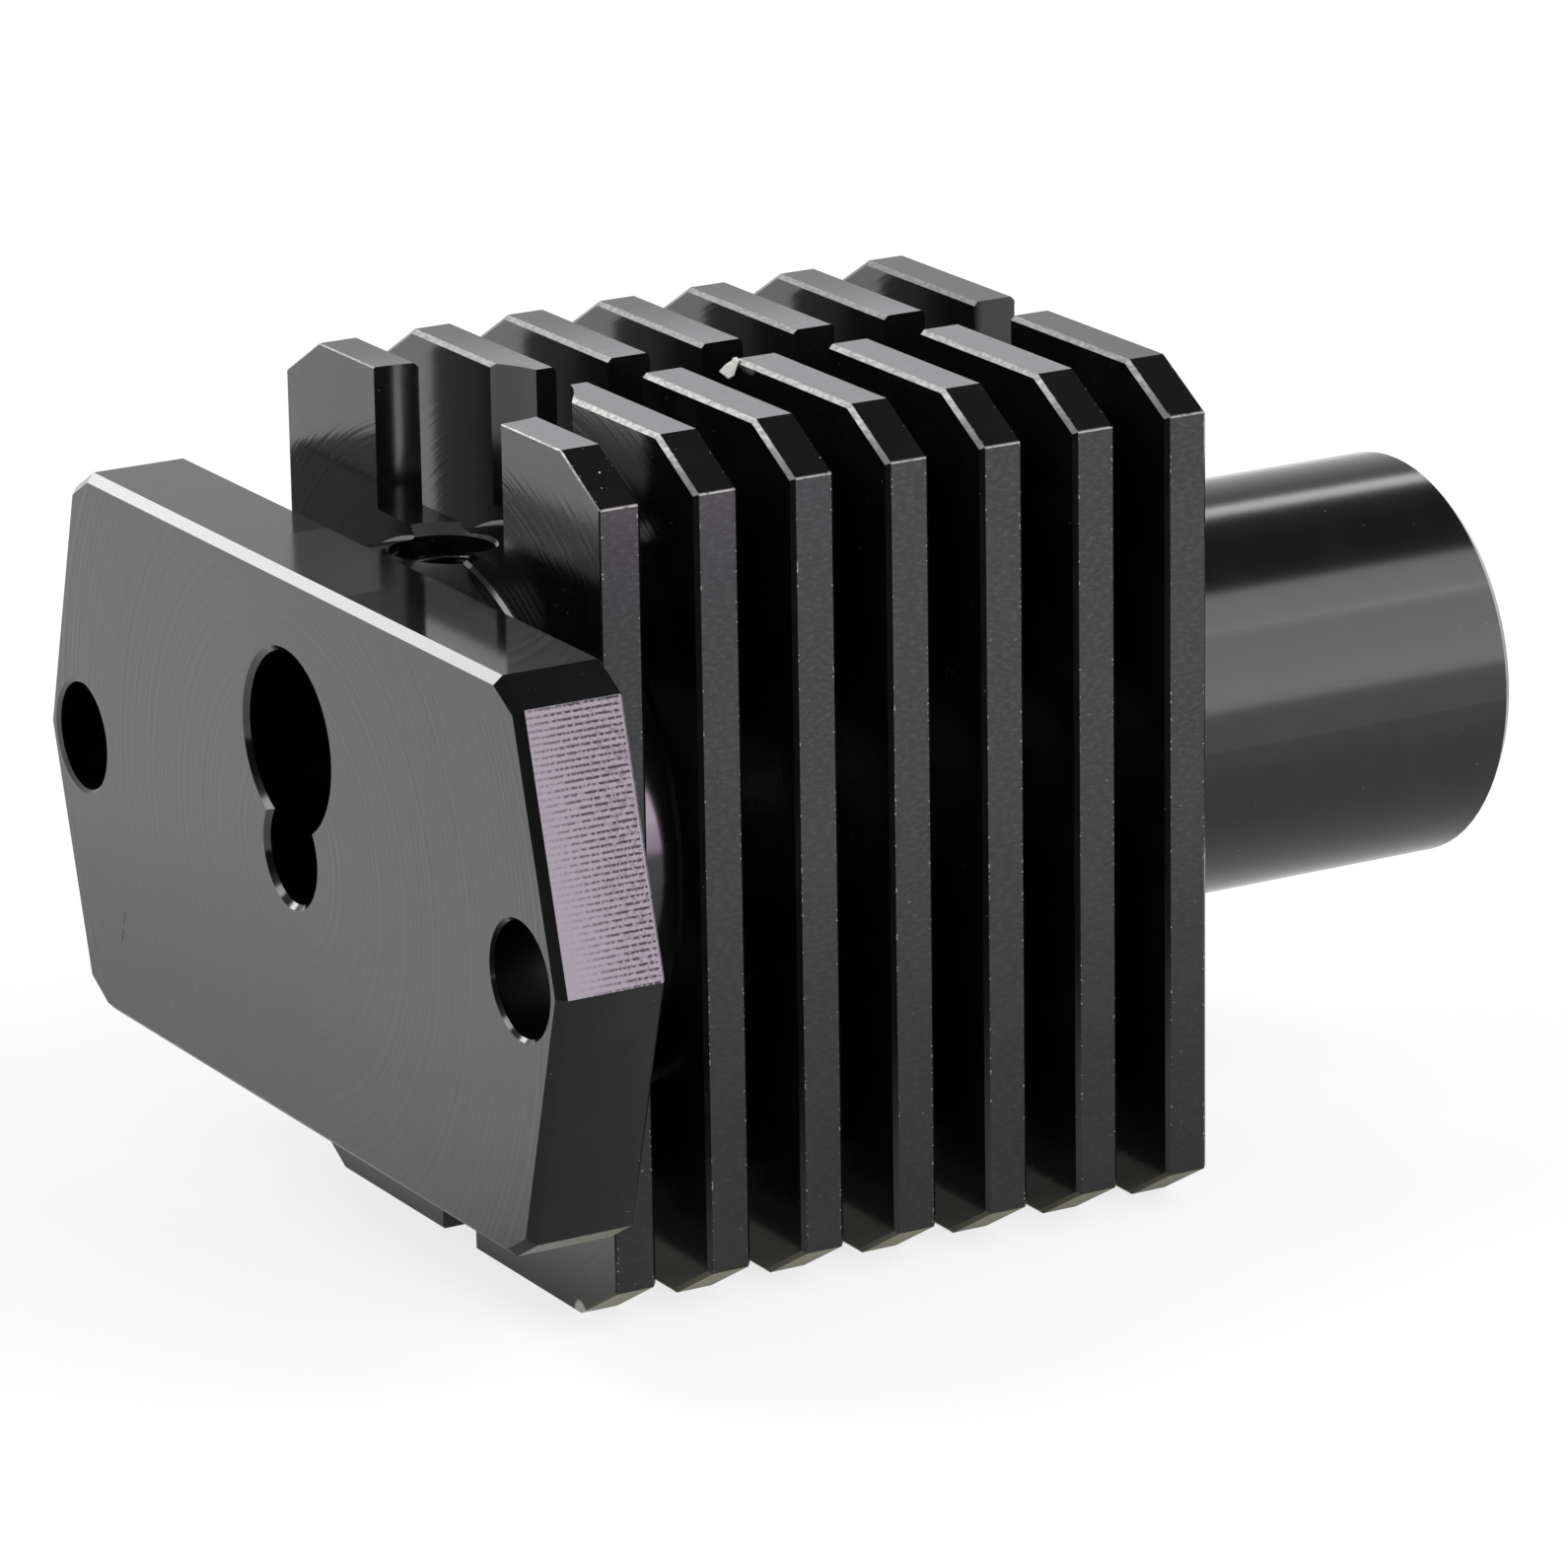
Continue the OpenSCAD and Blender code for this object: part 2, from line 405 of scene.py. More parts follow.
class PartSurface:
    """Where a point lies on the part and which way it faces, as values of a shader in millimetres.

    Lengths run from the plate's front face along y and from the tube's axis across x and z. Each
    zone is 1 on its own surfaces and 0 elsewhere.
    """

    def __init__(self, tree, sizes):
        self.tree = tree
        self.measure(sizes)
        coordinates = tree.node("ShaderNodeTexCoord", output="Object")
        self.place = tree.in_millimetres(tree.vector("SUBTRACT", coordinates, (0, FRONT_Y, AXIS_Z)))
        self.x, self.y, self.z = tree.separate(self.place)
        self.radius = diagonal(self.x, self.z)
        self.normal = coordinates.output("Normal")
        self.facing_right, self.facing_back, self.facing_up = tree.separate(self.normal)
        self.facing_side = abs(self.facing_right)

        # Faces across the axis, surfaces that run along it, and the edges broken between the two
        facing_ends = abs(self.facing_back)
        self.faces = tree.rise(facing_ends, SQUARE, 0.97)
        self.lengthwise = 1 - tree.rise(facing_ends, 0.3, 0.5)
        self.broken = (facing_ends > HALF) * (facing_ends < OVER_HALF)

        self.add_patterns()
        self.mark_holes()
        self.mark_plate()
        self.mark_plate_edges()
        self.mark_fins()
        self.mark_fin_edges()

    def measure(self, sizes):
        """Works out the part's main lengths in millimetres."""
        self.plate_back = sizes.plate_thickness / MM
        self.fins_start = self.plate_back + sizes.first_gap / MM
        self.first_back = self.fins_start + sizes.first_fin / MM
        self.pitch = sizes.fin_pitch / MM
        self.thickness = sizes.fin_thickness / MM
        self.edge_break = sizes.fin_break / MM
        self.fins_end = self.first_back + (sizes.fin_count - 1) * self.pitch
        self.half_width = sizes.fin_width / MM / 2
        self.half_height = (TOP_Z - AXIS_Z) / MM
        self.corner_z = self.half_height - sizes.fin_corner / MM * math.tan(sizes.corner_slope)

    def add_patterns(self):
        """Patterns of the coating: thin patches, the lathe's rings, grain of milling and spots of wear."""
        self.cloud = self.tree.noise(self.place, CLOUDS, 1.0)
        # On a face only the radius varies, and along the tube only y
        self.rings = self.tree.noise_line(self.radius + self.y, RINGS, 1.0, 0.6)
        self.grain = self.tree.stretched_noise(self.place, GRAIN, 2.0, 0.6)
        self.wear = self.tree.noise(self.place, WEAR, 1.0, 0.6)

    def mark_holes(self):
        """Zones of the bores' walls, the left screw hole's mouth and the set screw's countersink."""
        holes = MOUNTS["screw_holes"]["dims"]
        from_hole = abs(self.x) - holes["spacing_x_mm"] / 2
        self.in_hole = diagonal(from_hole, self.z) < holes["hole_r_mm"] * SCREW_HOLE_MOUTH
        self.bores = self.lengthwise * self.tree.most(self.in_hole, self.radius < BORES_RADIUS)
        self.left_mouth = self.broken * self.in_hole * (self.x < 0)
        screw = MOUNTS["set_screw"]
        from_screw = self.y - (screw["pos_m"][1] - FRONT_Y) / MM
        in_mouth = diagonal(self.x, from_screw) < screw["dims"]["r_mm"] * SET_SCREW_MOUTH
        self.countersink = in_mouth * (self.facing_up > HALF) * (self.facing_up < OVER_HALF)

    def mark_plate(self):
        """Zones of the plate: its rim with its slanted sides and lower right corner, and its front."""
        # The rim lies about as far from the axis as the fins' sides do, or further
        at_rim = (self.radius > self.half_width * 0.95) * (1 - self.in_hole)
        self.plate_rim = (self.y < self.plate_back) * self.lengthwise * at_rim
        self.plate_front = self.faces * (self.y < self.plate_back / 2)
        self.slants = self.plate_rim * (self.facing_side > SQUARE) * (abs(self.facing_up) > SLIGHT)
        to_right = (self.facing_right > SLIGHT) * (self.facing_right < HALF)
        self.low_corner = self.plate_rim * to_right * (self.facing_up < -SLIGHT)

    def mark_plate_edges(self):
        """Zones of those of the plate's broken edges that are rubbed or rounded over."""
        tree = self.tree
        at_bottom = (self.facing_up < -HALF) * (self.z < -self.half_height / 2)
        self.bottom_edge = self.broken * at_bottom * (self.y < self.plate_back / 2)

        # The side beside a broken edge faces the same way, but not along the axis
        self.side_normal = tree.vector("MULTIPLY", self.normal, (math.sqrt(2), 0, math.sqrt(2)))
        to_side = tree.vector("DOT_PRODUCT", self.place, self.side_normal, output="Value")
        on_side = self.broken * (self.y < self.plate_back) * (to_side > SLANTS_REACH)
        on_slant = self.facing_side > HALF

        # The rubbed back edges of the upper slanted sides
        self.back_edges = on_side * (self.facing_back > 0) * on_slant * (self.facing_up > SLIGHT)

        # Right front edges that are rounded so far that they shade like the side behind them
        upper_corners = (1 - on_slant) * (self.facing_up > SLIGHT)
        lower_slants = on_slant * (self.facing_up < -SLIGHT)
        right_front = (self.facing_back < 0) * (self.facing_right > SLIGHT)
        self.rounded_edges = on_side * right_front * tree.most(upper_corners, lower_slants)

    def mark_fins(self):
        """Zones of the tube, and of the fins' outer strips, sides, tops and upper front edges."""
        in_fins = (self.y > self.fins_start) * (self.y < self.fins_end)
        self.before_last = self.y < self.fins_end - self.thickness
        at_side = abs(self.x) > self.half_width - STRIP_DEPTH
        at_top = (abs(self.facing_up) > SLIGHT) * (abs(self.z) > self.corner_z - STRIP_DEPTH)
        outer = self.tree.most(at_side, at_top) * in_fins
        self.tube = (self.y > self.fins_end) * self.lengthwise
        self.strips = outer * self.lengthwise
        self.fin_sides = self.strips * (self.facing_side > SQUARE)
        self.fin_tops = self.strips * (self.facing_up > SQUARE) * self.before_last
        self.front_breaks = outer * self.broken * (self.facing_up > SLIGHT) * (self.facing_back < 0)

    def mark_fin_edges(self):
        """Zones along the broken edges of the fins' outer strips and along their upper corners."""
        tree = self.tree
        step = tree.math("FLOORED_MODULO", self.y - (self.first_back - self.thickness), self.pitch)
        from_front = abs(step - self.edge_break)
        from_back = abs(step - (self.thickness - self.edge_break))
        self.strip_edges = self.strips * (1 - tree.rise(tree.least(from_front, from_back), 0.0, 0.06))
        from_corner = diagonal(abs(self.x) - self.half_width, self.z - self.corner_z)
        self.corner_lines = self.strips * (1 - tree.rise(from_corner, 0.02, 0.055))


def slant_grooves(surface, look, worn):
    """Dashed lines milled along the slanted sides, clearest towards the back and the top."""
    tree = surface.tree
    dashes = tree.stretched_noise(surface.place, DASHES, 1.0)
    wave = surface.z * (2 * math.pi / (look.line_pitch / MM)) + dashes
    lines = tree.rise(tree.math("SINE", wave), -0.2, 0.8) * between(tree.rise(dashes, 0.38, 0.56), 0.25, 1.0)
    specks = tree.rise(surface.wear, 0.42, 0.68) * tree.rise(surface.y, 0.6, 3.0) * worn.groove_specks
    tilt = 0.14
    clear = tree.rise(surface.y + surface.z * tilt, 0.3, 3.0)
    plain_edge = 0.14
    before_edge = surface.y < surface.plate_back - plain_edge
    return tree.most(lines, specks) * clear * before_edge * surface.slants


def plate_scratch(surface):
    """Two dashes of a short scratch near the plate's left edge, 1 on them and 0 elsewhere."""
    (top_x, top_z), (end_x, end_z) = SCRATCH
    run = (surface.z - top_z) / (end_z - top_z)
    aside = abs(surface.x - top_x - run * (end_x - top_x))
    half_gap = 0.08
    dashes = (run > 0) * (run < 1) * (abs(run - 0.5) > half_gap)
    return dashes * (1 - surface.tree.rise(aside, 0.02, 0.05)) * surface.plate_front


def painted_ring_sheen(surface):
    """Painted sheen on the plate's turned rings: they show pale only towards its upper left and its lower
    right corner, where a turned face's bow-tie highlight falls.
    """
    tree = surface.tree
    diagonally = surface.x * surface.z / (surface.radius * surface.radius)
    shown = tree.rise(0 - diagonally, 0.05, 0.4) * surface.plate_front
    return tree.rise(surface.rings, 0.4, 0.65) * shown


def nicks(surface):
    """Spots where the coating is knocked off, 1 on them and 0 elsewhere."""
    tree = surface.tree
    spots = []
    for place, size in NICKS:
        away = tree.vector("DISTANCE", surface.place, place, output="Value")
        spots.append(1 - tree.rise(away, size * 0.6, size))
    return tree.most(*spots)


def chipped_sides(surface, worn):
    """Bare share of the small chips along the fins' sides."""
    return surface.strip_edges * surface.tree.rise(surface.wear, 0.64, 0.7) * worn.chips


def rubbed_edges(surface, worn):
    """Bare share of the upper front edges, the corner lines and the set screw's countersink."""
    tree = surface.tree
    # Barer on the right and towards the tops, uneven along each edge, and less on the last fin
    by_side = between(tree.rise(surface.x, -1.5, 1.5), worn.edges_left, worn.edges_right)
    by_height = between(tree.rise(surface.z, 11.2, 12.1), 0.25, 1.0)
    by_grain = between(tree.rise(surface.grain, 0.35, 0.65), 0.7, 1.3)
    by_fin = between(surface.before_last, worn.last_fin, 1.0)
    edges = surface.front_breaks * by_side * by_height * by_grain * by_fin
    lines = surface.corner_lines * tree.rise(surface.wear, 0.25, 0.5) * worn.corner_lines
    mouth = surface.countersink * between(tree.rise(surface.x, 0.2, 1.5), worn.mouth_left, worn.mouth_right)
    return tree.most(edges, lines, mouth)


def coating_colour(surface, look, worn, bare, knocked):
    """Black skin: faded in patches, paler on grain, with painted sheen on the rings and painted shade low on
    the sides, paler on the tops' right halves, dusty, and bare in spots.
    """
    tree = surface.tree
    dyed = tree.mix_colour(tree.rise(surface.cloud, 0.4, 0.75), look.dye, look.faded_dye)
    # Grain on the fins' sides, faded towards the bottom as painted shade
    on_sides = surface.fin_sides * between(tree.rise(surface.z, -8.0, 4.0), worn.grain_low_shaded, worn.grain_high)
    # The pale rings on the plate's front are painted sheen
    grain_and_sheen = on_sides * tree.rise(surface.grain, 0.42, 0.7) + painted_ring_sheen(surface) * worn.rings
    milled = tree.mix_colour(grain_and_sheen, dyed, look.grain_and_sheen_dye)
    # The fins' tops are paler on their right halves
    tops = surface.fin_tops * tree.rise(surface.x, -6.5, -0.5) * between(surface.grain, 0.75, 1.25)
    rubbed = tree.most(tops, surface.back_edges * tree.rise(surface.wear, 0.2, 0.5))
    paler = tree.mix_colour(rubbed, milled, look.pale_dye)
    specks = tree.rise(surface.wear, 0.74, 0.77) * (surface.grain > 0.6)
    dusty = tree.mix_colour(specks * worn.dust, paler, look.dust)
    chipped = tree.mix_colour(bare, dusty, look.bare_metal)
    return tree.mix_colour(knocked, chipped, look.torn_metal)


def coating_roughness(surface, look, worn, chips):
    """Roughness of each zone, worked out from that of the turned faces."""
    return (
        look.rough_faces
        + surface.plate_rim * (look.rough_rim - look.rough_faces)
        + surface.strips * (look.rough_tops - look.rough_faces)
        + surface.fin_sides * (look.rough_sides - look.rough_tops)
        + surface.front_breaks * (look.rough_breaks - look.rough_faces)
        + surface.tube * (look.rough_tube - look.rough_faces)
        + surface.bores * (look.rough_bores - look.rough_faces)
        + slant_grooves(surface, look, worn) * (look.rough_grooves - look.rough_rim)
        + plate_scratch(surface) * (look.rough_grooves - look.rough_faces)
        + chips * look.rough_chips
    )


def coating_normal(surface, look, worn):
    """Shading of the rings that the lathe left, and of the edges that are rounded over."""
    tree = surface.tree
    # On the faces the rings are uneven along their way, and on the tube they are faint
    on_fins, on_plate, on_tube = 1.4, 1.8, 0.16
    on_faces = surface.faces * between(surface.plate_front, on_fins, on_plate)
    clear = on_faces * surface.cloud + surface.tube * on_tube
    turned = tree.node(
        "ShaderNodeBump", {},
        {"Strength": clear, "Distance": look.ring_depth, "Height": surface.rings})
    softened = tree.mix_vector(surface.rounded_edges, turned, surface.side_normal)
    # The left screw hole's mouth and two lower edges of the plate turn towards the front
    rounded = (
        surface.left_mouth * worn.round_mouth
        + surface.bottom_edge * worn.round_bottom
        + surface.low_corner * worn.round_corner)
    return tree.mix_vector(rounded, softened, (0, -1, 0))


def coating_material(look, worn, sizes):
    """Black anodised aluminium: tool marks under a thin dyed skin, chipped on its edges."""
    material = bpy.data.materials.new("anodised_coating")
    material.use_nodes = True
    tree = NodeTree(material.node_tree)
    surface = PartSurface(tree, sizes)
    chips = chipped_sides(surface, worn)
    bare = tree.most(chips, rubbed_edges(surface, worn))
    knocked = nicks(surface)
    # The drilled bores are rougher, and their skin mirrors hardly more than its own dark colour: painted
    # shade in these recesses
    metallic = tree.most(bare * (1 - knocked), surface.bores * look.bores_painted_shade)
    shader = tree.node(
        "ShaderNodeBsdfPrincipled", {},
        {"Base Color": coating_colour(surface, look, worn, bare, knocked),
         "Roughness": coating_roughness(surface, look, worn, chips),
         "Metallic": metallic,
         "IOR": look.refraction,
         "Normal": coating_normal(surface, look, worn)})
    tree.node("ShaderNodeOutputMaterial", inputs={"Surface": shader})
    return material


def burr_material(look):
    """Bare, torn aluminium."""
    material = bpy.data.materials.new("torn_metal")
    material.use_nodes = True
    tree = NodeTree(material.node_tree)
    place = tree.in_millimetres(tree.node("ShaderNodeTexCoord", output="Object"))
    tear = tree.noise(place, 6.0, 3.0)
    tear_depth = 0.03 * MM
    torn = tree.node("ShaderNodeBump", {}, {"Strength": 1.0, "Distance": tear_depth, "Height": tear})
    tone = tree.mix_colour(tree.rise(tear, 0.3, 0.6), look.bare_metal, look.torn_metal)
    shader = tree.node(
        "ShaderNodeBsdfPrincipled", {},
        {"Base Color": tone, "Roughness": look.rough_torn, "Normal": torn})
    tree.node("ShaderNodeOutputMaterial", inputs={"Surface": shader})
    return material


def show(name, mesh):
    """Puts a finished mesh into the scene."""
    piece = bpy.data.objects.new(name, mesh)
    bpy.context.scene.collection.objects.link(piece)
    return piece


def join_part(piece):
    """Makes a piece ride with the part."""
    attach(piece, BODY)


def thread_tree():
    """Geometry nodes for a helical ridge that points inwards from a hole's wall."""
    group = bpy.data.node_groups.new("inner_thread", "GeometryNodeTree")
    tree = NodeTree(group)
    for name, kind in (
        ("Radius", "NodeSocketFloat"), ("Depth", "NodeSocketFloat"), ("Pitch", "NodeSocketFloat"),
        ("Length", "NodeSocketFloat"), ("Bottom", "NodeSocketVector"), ("Finish", "NodeSocketMaterial"),
    ):
        group.interface.new_socket(name, in_out="INPUT", socket_type=kind)
    group.interface.new_socket("Geometry", in_out="OUTPUT", socket_type="NodeSocketGeometry")

    radius = tree.node("NodeGroupInput")
    depth, pitch, run = (radius.output(name) for name in ("Depth", "Pitch", "Length"))
    # The ridge is a triangle 1.5 times as high as its corners are far from its middle, and its flat
    # side is sunk a little into the wall
    corner = depth / 1.5
    middle_radius = radius - corner * 0.4
    steps_in_turn = 48
    helix = tree.node(
        "GeometryNodeCurveSpiral", {},
        {"Resolution": steps_in_turn, "Rotations": run / pitch, "Start Radius": middle_radius,
         "End Radius": middle_radius, "Height": run})
    upright = tree.node("GeometryNodeSetCurveNormal", {"mode": "Z_UP"}, {"Curve": helix})
    ridge = tree.node("GeometryNodeCurvePrimitiveCircle", {}, {"Resolution": 3, "Radius": corner})
    swept = tree.node(
        "GeometryNodeCurveToMesh", {}, {"Curve": upright, "Profile Curve": ridge, "Fill Caps": True})
    placed = tree.node(
        "GeometryNodeTransform", {}, {"Geometry": swept, "Translation": radius.output("Bottom")})
    realized = tree.node("GeometryNodeRealizeInstances", {}, {"Geometry": placed})
    finished = tree.node(
        "GeometryNodeSetMaterial", {}, {"Geometry": realized, "Material": radius.output("Finish")})
    tree.node("NodeGroupOutput", inputs={"Geometry": finished})
    return group


def grow(name, group, settings):
    """Runs a geometry-nodes tree with those inputs and returns its result as a plain mesh."""
    seed = bpy.data.objects.new(name + "_seed", bpy.data.meshes.new(name + "_seed"))
    bpy.context.scene.collection.objects.link(seed)
    modifier = seed.modifiers.new(name, "NODES")
    modifier.node_group = group
    for socket in group.interface.items_tree:
        if socket.in_out == "INPUT":
            modifier[socket.identifier] = settings[socket.name]
    depsgraph = bpy.context.evaluated_depsgraph_get()
    mesh = bpy.data.meshes.new_from_object(seed.evaluated_get(depsgraph))
    mesh.name = name
    seed.modifiers.remove(modifier)
    bpy.data.objects.remove(seed)
    if not mesh.polygons:
        raise RuntimeError(f"{name} came out empty")
    return mesh


class HEATSINK_OT_coat(bpy.types.Operator):
    """Gives the machined part its black anodised coating"""

    bl_idname = "heatsink.coat"
    bl_label = "Anodise the part"

    def execute(self, context):
        scene = context.scene
        material = coating_material(scene.coating_look, scene.wear_look, scene.heat_sink_sizes)
        frame["nodes"][NODE].material_slots[0].material = material
        return {"FINISHED"}


class HEATSINK_OT_thread(bpy.types.Operator):
    """Adds the thread in the set screw's hole"""

    bl_idname = "heatsink.thread"
    bl_label = "Tap the set screw's hole"

    def execute(self, context):
        sizes = context.scene.heat_sink_sizes
        mount = MOUNTS["set_screw"]
        run = mount["dims"]["length_mm"] * MM - sizes.thread_pitch
        middle = Vector(mount["pos_m"])
        mesh = grow("set_screw_thread", thread_tree(), {
            "Radius": mount["dims"]["r_mm"] * MM,
            "Depth": sizes.thread_depth,
            "Pitch": sizes.thread_pitch,
            "Length": run,
            "Bottom": middle - Vector((0, 0, run / 2)),
            "Finish": frame["nodes"][NODE].material_slots[0].material,
        })
        join_part(show("set_screw_thread", mesh))
        return {"FINISHED"}


def burr_mesh(sizes):
    """A thin torn flake that hangs out of a fin's upper front corner at the slot."""
    fin_back = (
        FRONT_Y + sizes.plate_thickness + sizes.first_gap + sizes.first_fin
        + (sizes.burr_fin - 1) * sizes.fin_pitch)
    fin_front = fin_back - sizes.fin_thickness
    corner = Vector((sizes.slot_width / 2, fin_front + sizes.fin_break / 2, TOP_Z))
    # The flake grows out into the slot and forward, and leans forward as it hangs
    outward = Vector((-0.62, -0.785, 0)) * sizes.burr_reach
    downward = Vector((0.785, -0.62, -1)) * sizes.burr_drop
    half_thickness = outward.cross(downward).normalized() * sizes.burr_half
    shape = bmesh.new()
    front = []
    back = []
    for reach, fall, thick in BURR_OUTLINE:
        place = corner + outward * reach + downward * fall
        front.append(shape.verts.new(place + half_thickness * thick))
        back.append(shape.verts.new(place - half_thickness * thick))
    shape.faces.new(front)
    shape.faces.new(back[::-1])
    for index, start in enumerate(front):
        after = (index + 1) % len(front)
        shape.faces.new((start, back[index], back[after], front[after]))
    bmesh.ops.triangulate(shape, faces=shape.faces[:])
    bmesh.ops.recalc_face_normals(shape, faces=shape.faces[:])
    mesh = bpy.data.meshes.new("fin_burr")
    shape.to_mesh(mesh)
    shape.free()
    return mesh


class HEATSINK_OT_burr(bpy.types.Operator):
    """Leaves the torn burr at the slot's edge of one fin"""

    bl_idname = "heatsink.burr"
    bl_label = "Leave the burr"

    def execute(self, context):
        mesh = burr_mesh(context.scene.heat_sink_sizes)
        mesh.materials.append(burr_material(context.scene.coating_look))
        join_part(show("fin_burr", mesh))
        return {"FINISHED"}


def panel_lamp(name, place, along, across, brightness, tint, centre):
    """A soft panel lamp that faces the part, with its first side lying along the part."""
    place = Vector(place) * MM
    towards = (place - centre).normalized()
    lengthwise = Vector((0, 1, 0))
    side = (lengthwise - towards * towards.dot(lengthwise)).normalized()
    lamp = bpy.data.lights.new(name, "AREA")
    lamp.shape = "RECTANGLE"
    lamp.size, lamp.size_y = along * MM, across * MM
    lamp.energy = brightness * math.pi * lamp.size * lamp.size_y
    lamp.color = tint
    panel = bpy.data.objects.new(name, lamp)
    turn = Matrix((side, towards.cross(side), towards)).transposed()
    panel.matrix_world = Matrix.Translation(place) @ turn.to_4x4()
    panel.visible_camera = False
    bpy.context.scene.collection.objects.link(panel)


def ray_kinds(tree):
    """Whether a ray comes from the camera, and whether it is mirrored or refracted, each 1 or 0."""
    from_camera = tree.node("ShaderNodeLightPath", output="Is Camera Ray")
    mirrored = tree.most(from_camera.output("Is Glossy Ray"), from_camera.output("Is Transmission Ray"))
    return from_camera, mirrored


def stage_world(ambient):
    """White behind the part, a graded studio in its gloss and an even room on matt surfaces."""
    world = bpy.data.worlds.new("studio")
    world.use_nodes = True
    tree = NodeTree(world.node_tree)
    towards = tree.node("ShaderNodeTexCoord", output="Generated")
    height = tree.separate(towards)[2]
    graded = tree.node("ShaderNodeValToRGB", {"stops": ROOM_GREYS}, {"Fac": height})
    at_wall = tree.vector("DOT_PRODUCT", towards, DARK_WALL, output="Value")
    shaded = tree.mix_colour(tree.rise(at_wall, 0.6, 0.85), graded, [DARK_WALL_GREY] * 3)
    from_camera, mirrored = ray_kinds(tree)
    room = tree.mix_colour(mirrored, [ambient] * 3, shaded)
    seen = tree.mix_colour(from_camera, room, WHITE)
    light = tree.node("ShaderNodeBackground", {}, {"Color": seen, "Strength": 1.0})
    tree.node("ShaderNodeOutputWorld", inputs={"Surface": light})
    bpy.context.scene.world = world


def floor_in_gloss(tree):
    """The floor as the part mirrors it, with painted light and shadow: lightest on the left, and dark where
    the part shades it.
    """
    coordinates = tree.node("ShaderNodeTexCoord", output="Object")
    x, y, _ = tree.separate(tree.in_millimetres(coordinates))
    behind_front = y - FRONT_Y / MM

    # Painted light: brightness under the part, and what is added towards the left and far out on the right
    least, left_glow, right_glow = 0.48, 0.76, 0.6
    leftwards = -0.8 * x - 0.25 * y
    lit = least + tree.rise(leftwards, -14.0, 14.0) * left_glow + tree.rise(x, 0.0, 60.0) * right_glow

    # Painted shade close in front of the plate, and over the quarter towards the camera
    close_shade, camera_shade = 0.25, 0.95
    close = tree.rise(behind_front, -18.0, -4.0) * (1 - tree.rise(behind_front, -4.0, 2.0))
    turn = math.radians(30)
    along = x * math.sin(turn) - behind_front * math.cos(turn)
    across = x * math.cos(turn) + behind_front * math.sin(turn)
    camera_side = tree.rise(along, -4.0, 14.0) * tree.rise(across, -6.0, 8.0)
    shade = (1 - close * close_shade) * (1 - camera_side * camera_shade)

    # Painted shadow under the fins, lighter and warmer on the right
    beneath = tree.rise(behind_front, 1.0, 7.0) * (1 - tree.rise(behind_front, 24.0, 28.0))
    under_fins = beneath * (1 - tree.rise(abs(x + 3.0), 11.0, 17.0))
    shadow = tree.mix_colour(tree.rise(x, 5.5, 8.5), (0.27, 0.265, 0.25), (0.62, 0.62, 0.46))
    paper = tree.mix_colour(under_fins, (0.98, 0.98, 1.0), shadow)
    return tree.node("ShaderNodeVectorMath", {"operation": "SCALE"}, {0: paper, "Scale": lit * shade})


def floor_material(tone):
    """Pale floor: white to the camera with a faint shadow, graded with painted light and shadow in gloss,
    and matt to the rest.
    """
    material = bpy.data.materials.new("pale_floor")
    material.use_nodes = True
    tree = NodeTree(material.node_tree)
    from_camera, mirrored = ray_kinds(tree)
    matt = tree.node("ShaderNodeBsdfDiffuse", {}, {"Color": opaque(tone)})
    to_gloss = tree.node("ShaderNodeEmission", {}, {"Color": floor_in_gloss(tree), "Strength": 1.0})
    # To the camera the floor glows nearly white, and the lamps add the rest where no shadow falls
    glow, shadow_tone = 0.78, 0.3
    faint = tree.node("ShaderNodeBsdfDiffuse", {}, {"Color": opaque([shadow_tone] * 3)})
    white = tree.node("ShaderNodeEmission", {}, {"Color": opaque(WHITE), "Strength": glow})
    to_camera = tree.node("ShaderNodeAddShader", {}, {0: faint, 1: white})
    plain = tree.node("ShaderNodeMixShader", {}, {0: mirrored, 1: matt, 2: to_gloss})
    seen = tree.node("ShaderNodeMixShader", {}, {0: from_camera, 1: plain, 2: to_camera})
    tree.node("ShaderNodeOutputMaterial", inputs={"Surface": seen})
    return material


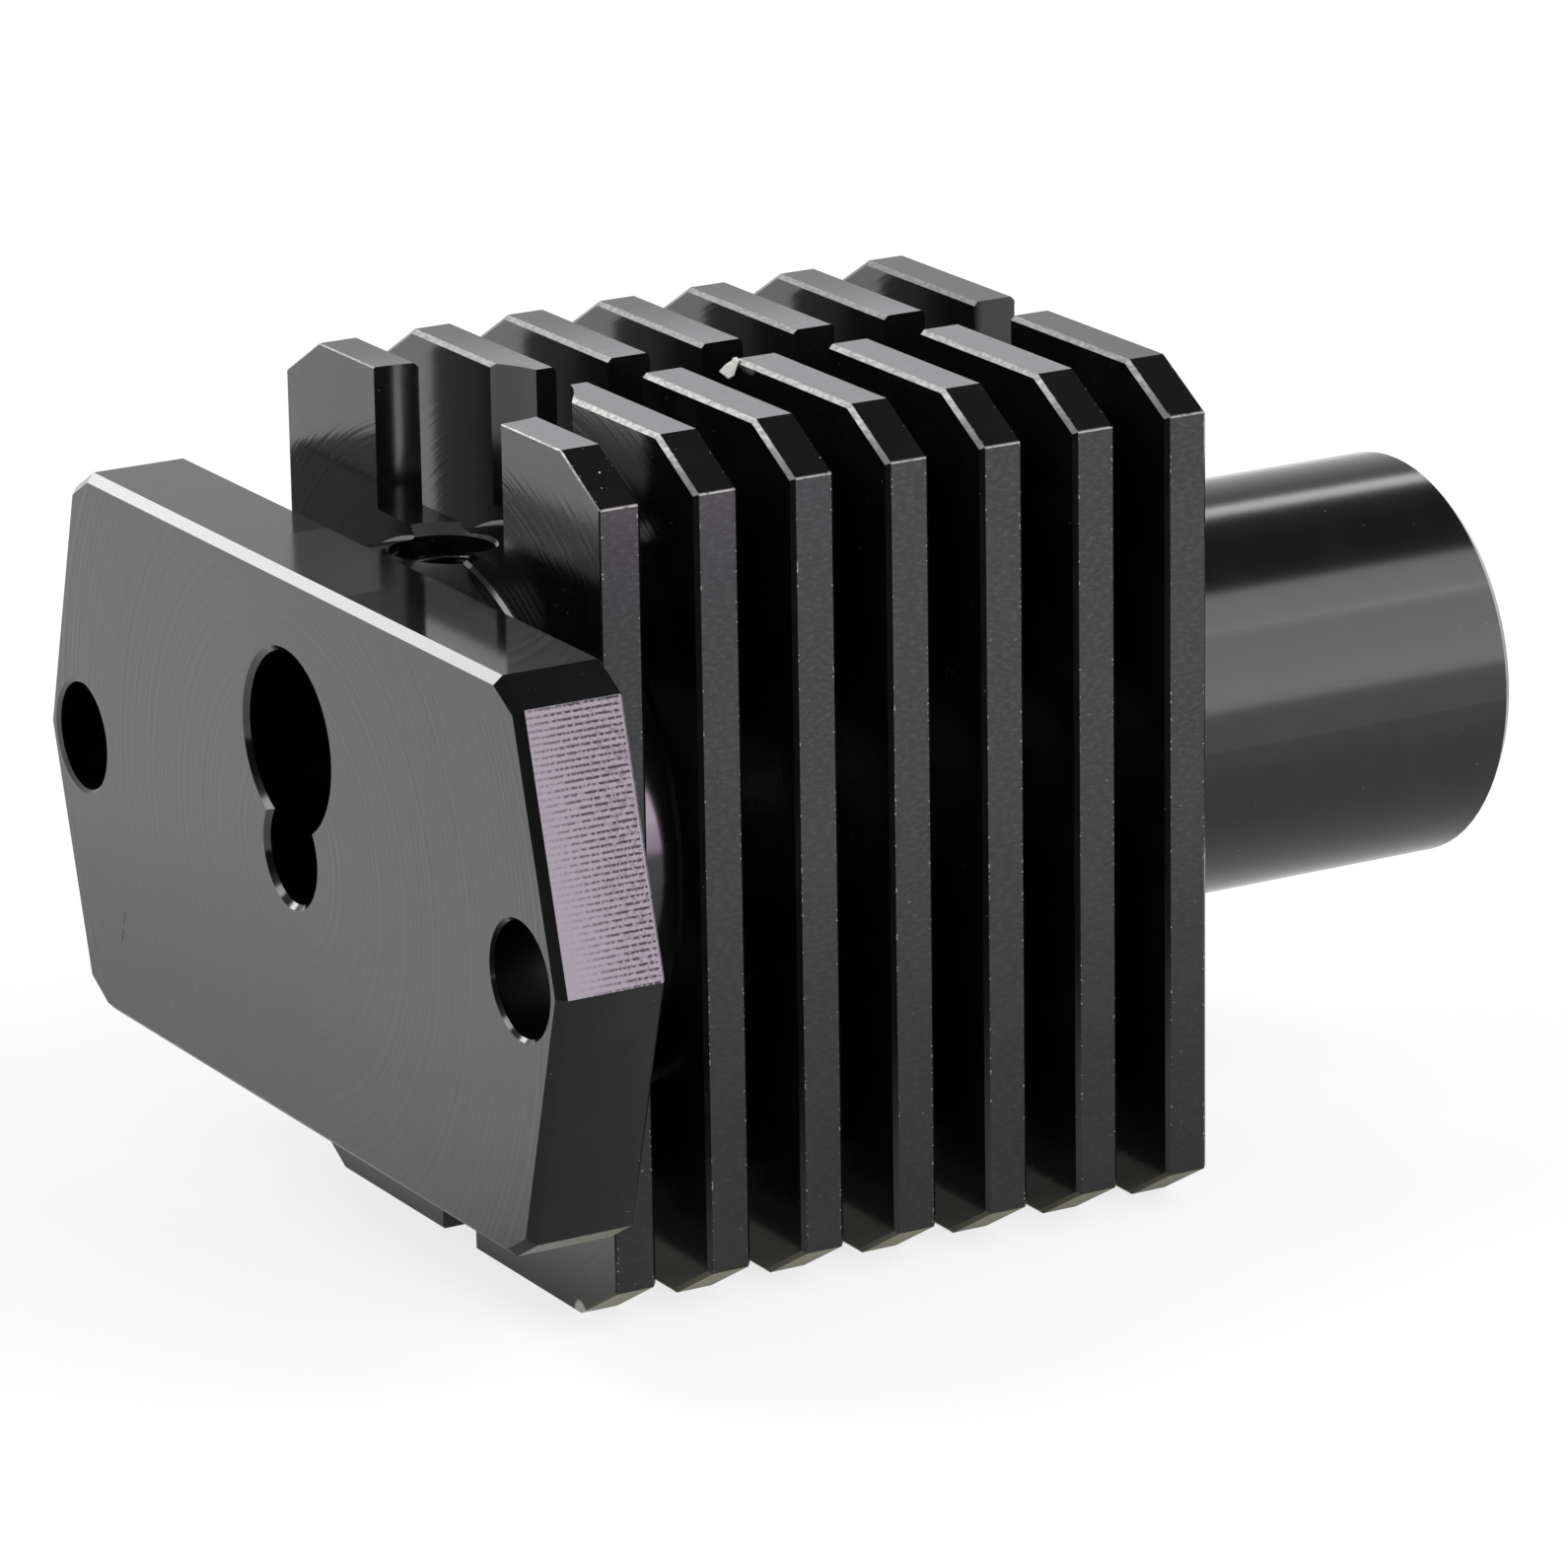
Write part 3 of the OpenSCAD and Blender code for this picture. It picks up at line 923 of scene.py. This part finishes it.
class HEATSINK_OT_stage(bpy.types.Operator):
    """Builds the floor, the lamps, the room and the camera"""

    bl_idname = "heatsink.stage"
    bl_label = "Set the stage"

    def execute(self, context):
        settings = context.scene.stage_settings
        low, high = PART_BOX
        centre = (low + high) / 2
        self.lay_floor(settings, low.z)
        for panel in PANELS:
            panel_lamp(*panel, centre)
        stage_world(settings.ambient)
        self.place_camera(settings)
        context.scene.view_settings.view_transform = "Standard"
        return {"FINISHED"}

    @staticmethod
    def lay_floor(settings, level):
        """Lays a wide floor at that level."""
        reach = 2.0
        turns = ((-1, -1), (1, -1), (1, 1), (-1, 1))
        corners = [(reach * side, reach * end, level) for side, end in turns]
        mesh = bpy.data.meshes.new("floor")
        mesh.from_pydata(corners, [], [(0, 1, 2, 3)])
        mesh.materials.append(floor_material(settings.floor_tone))
        show("floor", mesh)

    @staticmethod
    def place_camera(settings):
        """Puts the camera at its angle and distance from the point that it looks at."""
        turn, lift, roll = settings.azimuth, settings.elevation, settings.roll
        back = Vector((math.sin(turn) * math.cos(lift), -math.cos(turn) * math.cos(lift), math.sin(lift)))
        level = Vector((math.cos(turn), math.sin(turn), 0))
        upright = back.cross(level)
        right = level * math.cos(roll) + upright * math.sin(roll)
        up = upright * math.cos(roll) - level * math.sin(roll)
        camera = bpy.data.objects.new("camera", bpy.data.cameras.new("camera"))
        camera.data.lens = settings.lens
        camera.data.sensor_width = 36
        camera.data.clip_start, camera.data.clip_end = 0.01, 10
        place = Vector(settings.aim) + back * settings.distance
        camera.matrix_world = Matrix.Translation(place) @ Matrix((right, up, back)).transposed().to_4x4()
        bpy.context.scene.collection.objects.link(camera)
        bpy.context.scene.camera = camera


class HEATSINK_PT_panel(bpy.types.Panel):
    """Lists the steps that finish the heat sink"""

    bl_idname = "HEATSINK_PT_panel"
    bl_label = "Heat sink"
    bl_space_type = "VIEW_3D"
    bl_region_type = "UI"
    bl_category = "Heat sink"

    def draw(self, context):
        for step in OPERATORS:
            self.layout.operator(step.bl_idname)
        for group in SETTINGS:
            box = self.layout.box()
            for name in SETTINGS[group].__annotations__:
                box.prop(getattr(context.scene, group), name)


SETTINGS = {
    "heat_sink_sizes": HeatSinkSizes,
    "coating_look": CoatingLook,
    "wear_look": WearLook,
    "stage_settings": StageSettings,
}
OPERATORS = (HEATSINK_OT_coat, HEATSINK_OT_thread, HEATSINK_OT_burr, HEATSINK_OT_stage)


def register():
    """Makes the settings, the steps and the sidebar's panel known to Blender."""
    for name, group in SETTINGS.items():
        bpy.utils.register_class(group)
        setattr(bpy.types.Scene, name, PointerProperty(type=group))
    for step in OPERATORS:
        bpy.utils.register_class(step)
    bpy.utils.register_class(HEATSINK_PT_panel)


def unregister():
    """Takes away what register made known."""
    bpy.utils.unregister_class(HEATSINK_PT_panel)
    for step in reversed(OPERATORS):
        bpy.utils.unregister_class(step)
    for name, group in reversed(SETTINGS.items()):
        delattr(bpy.types.Scene, name)
        bpy.utils.unregister_class(group)


def main():
    """Runs every step in order."""
    register()
    bpy.ops.heatsink.coat()
    bpy.ops.heatsink.thread()
    bpy.ops.heatsink.burr()
    bpy.ops.heatsink.stage()


if __name__ == "__main__":
    main()
